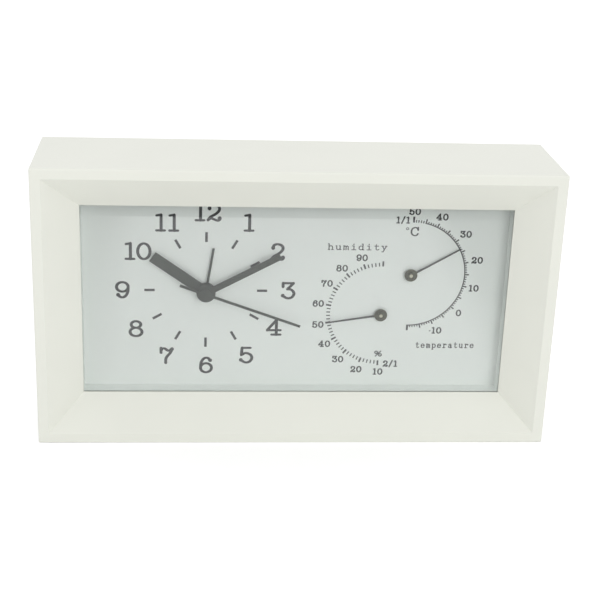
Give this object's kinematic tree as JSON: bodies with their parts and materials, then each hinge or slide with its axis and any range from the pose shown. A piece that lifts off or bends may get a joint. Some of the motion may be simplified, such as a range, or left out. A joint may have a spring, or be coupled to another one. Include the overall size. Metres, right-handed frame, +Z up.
{
  "type": "thermometer hygrometer clock",
  "caption": "Wide table clock with a flat lens over one dial that holds clock hands, a bimetal thermometer and a hygrometer, in a deep bevelled case with a recessed rear cover.",
  "frame": {"origin": "middle of the flat underside that the case rests on", "axes": "+X to the right seen from the front, -Y out of the dial towards the reader, +Z up"},
  "size_m": [0.2, 0.047, 0.111],
  "materials": {
    "case_plastic": "warm off-white moulded plastic, semi-gloss",
    "lens_glass": "clear flat lens",
    "dial_white": "printed pale grey dial",
    "hand_paint": "dark grey paint on thin metal",
    "movement_black": "black moulded plastic",
    "nylon": "natural nylon",
    "knob_plastic": "moulded plastic",
    "magnet": "sintered magnet on a moulded arbor",
    "steel": "plated steel",
    "copper_wire": "enamelled copper wire",
    "brass": "turned and stamped brass",
    "bimetal": "two-layer strip",
    "board_green": "circuit board",
    "chip_black": "black moulded package",
    "battery_wrap": "plain foil wrap on a steel can"
  },
  "bodies": {
    "case": {"alarm_contact_spring": "steel", "battery": "battery_wrap", "battery_contact_negative": "steel", "battery_contact_positive": "steel", "case_shell": "case_plastic", "circuit_board": "board_green", "coil_bobbin": "nylon", "coil_core": "steel", "coil_winding": "copper_wire", "control_chip": "chip_black", "dial_plate": "dial_white", "dial_screws": "steel", "dial_spacer": "dial_white", "hygrometer_bracket": "brass", "hygrometer_spiral": "bimetal", "lens": "lens_glass", "mounting_screws": "steel", "movement_front_case": "movement_black", "movement_middle_plate": "nylon", "movement_rear_case": "movement_black", "movement_screws": "steel", "quartz_crystal": "steel", "rear_cover": "case_plastic", "rear_cover_screws": "steel", "sensor_screws": "steel", "sounder": "chip_black", "stator": "steel", "thermometer_bracket": "brass", "thermometer_spiral": "bimetal"},
    "minute_hand": {"minute_hand": "hand_paint", "cannon_pinion": "nylon"},
    "hour_hand": {"hour_hand": "hand_paint", "hour_wheel": "nylon"},
    "motion_work": {"motion_wheel": "nylon", "time_knob": "knob_plastic"},
    "second_hand": {"second_hand": "hand_paint", "second_wheel": "nylon"},
    "step_wheel": {"step_wheel": "nylon"},
    "rotor": {"rotor": "magnet"},
    "third_wheel": {"third_wheel": "nylon"},
    "centre_wheel": {"centre_wheel": "nylon"},
    "alarm_hand": {"alarm_hand": "hand_paint", "alarm_wheel": "nylon"},
    "alarm_setting": {"alarm_pinion": "nylon", "alarm_knob": "knob_plastic"},
    "alarm_switch": {"alarm_switch": "knob_plastic"},
    "battery_door": {"battery_door": "case_plastic"},
    "thermometer_pointer": {"thermometer_pointer": "hand_paint", "thermometer_spindle": "brass"},
    "hygrometer_pointer": {"hygrometer_pointer": "hand_paint", "hygrometer_spindle": "brass"}
  },
  "joints": [
    {"name": "minute_spin", "type": "hinge", "parent": "case", "child": "minute_hand", "pos_m": [-0.03515, 0, 0.0575], "axis": [0, 1, 0], "continuous": true},
    {"name": "hour_spin", "type": "hinge", "parent": "case", "child": "hour_hand", "pos_m": [-0.03515, 0, 0.0575], "axis": [0, 1, 0], "continuous": true},
    {"name": "time_setting_spin", "type": "hinge", "parent": "case", "child": "motion_work", "pos_m": [-0.04401, 0, 0.05594], "axis": [0, 1, 0], "continuous": true},
    {"name": "second_spin", "type": "hinge", "parent": "case", "child": "second_hand", "pos_m": [-0.03515, 0, 0.0575], "axis": [0, 1, 0], "continuous": true},
    {"name": "step_spin", "type": "hinge", "parent": "case", "child": "step_wheel", "pos_m": [-0.03728, 0, 0.06336], "axis": [0, 1, 0], "continuous": true},
    {"name": "rotor_spin", "type": "hinge", "parent": "case", "child": "rotor", "pos_m": [-0.03835, 0, 0.06943], "axis": [0, 1, 0], "continuous": true},
    {"name": "third_spin", "type": "hinge", "parent": "case", "child": "third_wheel", "pos_m": [-0.02668, 0, 0.05676], "axis": [0, 1, 0], "continuous": true},
    {"name": "centre_spin", "type": "hinge", "parent": "case", "child": "centre_wheel", "pos_m": [-0.03515, 0, 0.0575], "axis": [0, 1, 0], "continuous": true},
    {"name": "alarm_spin", "type": "hinge", "parent": "case", "child": "alarm_hand", "pos_m": [-0.03515, 0, 0.0575], "axis": [0, 1, 0], "continuous": true},
    {"name": "alarm_setting_spin", "type": "hinge", "parent": "case", "child": "alarm_setting", "pos_m": [-0.03025, 0, 0.06599], "axis": [0, 1, 0], "continuous": true},
    {"name": "alarm_switch_slide", "type": "slide", "parent": "case", "child": "alarm_switch", "axis": [1, 0, 0], "range_m": [0, 0.004]},
    {"name": "battery_door_hinge", "type": "hinge", "parent": "case", "child": "battery_door", "pos_m": [-0.03515, 0.0155, 0.0301], "axis": [-1, 0, 0], "range_deg": [0, 95]},
    {"name": "thermometer_swing", "type": "hinge", "parent": "case", "child": "thermometer_pointer", "pos_m": [0.04533, 0, 0.06491], "axis": [0, -1, 0], "range_deg": [-120.2, 59.8], "stiffness_Nm_per_rad": 0.0002},
    {"name": "hygrometer_swing", "type": "hinge", "parent": "case", "child": "hygrometer_pointer", "pos_m": [0.03427, 0, 0.04797], "axis": [0, -1, 0], "range_deg": [-98.9, 81.1], "stiffness_Nm_per_rad": 0.0002}
  ],
  "couplings": [
    {"joint": "hour_spin", "follows": "minute_spin", "ratio": 0.083333},
    {"joint": "time_setting_spin", "follows": "minute_spin", "ratio": -0.33333},
    {"joint": "step_spin", "follows": "second_spin", "ratio": -5},
    {"joint": "rotor_spin", "follows": "second_spin", "ratio": 30},
    {"joint": "third_spin", "follows": "second_spin", "ratio": -0.13333},
    {"joint": "centre_spin", "follows": "second_spin", "ratio": 0.016667},
    {"joint": "alarm_setting_spin", "follows": "alarm_spin", "ratio": -3}
  ]
}
